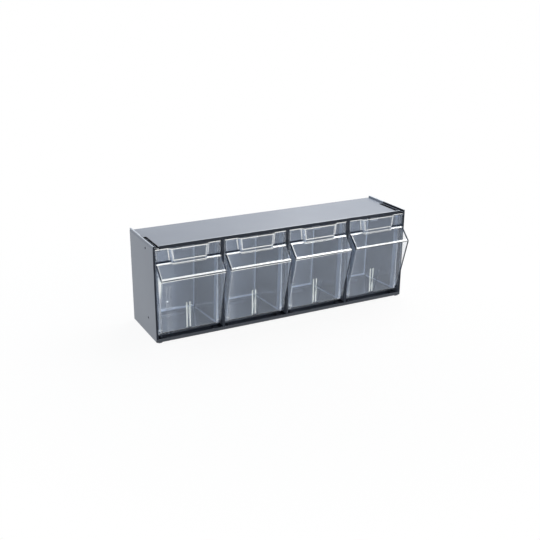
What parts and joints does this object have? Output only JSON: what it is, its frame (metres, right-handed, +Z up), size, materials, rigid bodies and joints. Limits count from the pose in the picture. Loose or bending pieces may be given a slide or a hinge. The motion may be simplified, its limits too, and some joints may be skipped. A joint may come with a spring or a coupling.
{
  "type": "store tilt out bin",
  "caption": "Flat shelf-top housing with a row of clear plastic bins that tip out on pivot pegs, each with a raised finger grip and a forward nose.",
  "frame": {"origin": "on the ground, under the middle of the unit's overall box with its bins closed", "axes": "+X along the width, to the right of someone facing the bins; +Y from the bins' fronts to the back; +Z up"},
  "size_m": [0.6, 0.168, 0.2075],
  "materials": {
    "housing": "satin blue-grey moulded plastic",
    "clear": "clear moulded plastic"
  },
  "bodies": {
    "housing": {"left_side_panel": "housing", "right_side_panel": "housing", "top_panel": "housing", "floor_panel": "housing", "back_panel": "housing", "divider_1": "housing", "divider_2": "housing", "divider_3": "housing", "front_left_foot": "housing", "front_right_foot": "housing", "rear_left_foot": "housing", "rear_right_foot": "housing"},
    "bin_1_body": {"bin_1": "clear"},
    "bin_2_body": {"bin_2": "clear"},
    "bin_3_body": {"bin_3": "clear"},
    "bin_4_body": {"bin_4": "clear"}
  },
  "joints": [
    {"name": "bin_1_tilt", "type": "hinge", "parent": "housing", "child": "bin_1_body", "pos_m": [-0.225, -0.038, 0.0225], "axis": [1, 0, 0], "range_deg": [0, 40]},
    {"name": "bin_2_tilt", "type": "hinge", "parent": "housing", "child": "bin_2_body", "pos_m": [-0.075, -0.038, 0.0225], "axis": [1, 0, 0], "range_deg": [0, 40]},
    {"name": "bin_3_tilt", "type": "hinge", "parent": "housing", "child": "bin_3_body", "pos_m": [0.075, -0.038, 0.0225], "axis": [1, 0, 0], "range_deg": [0, 40]},
    {"name": "bin_4_tilt", "type": "hinge", "parent": "housing", "child": "bin_4_body", "pos_m": [0.225, -0.038, 0.0225], "axis": [1, 0, 0], "range_deg": [0, 40]}
  ]
}
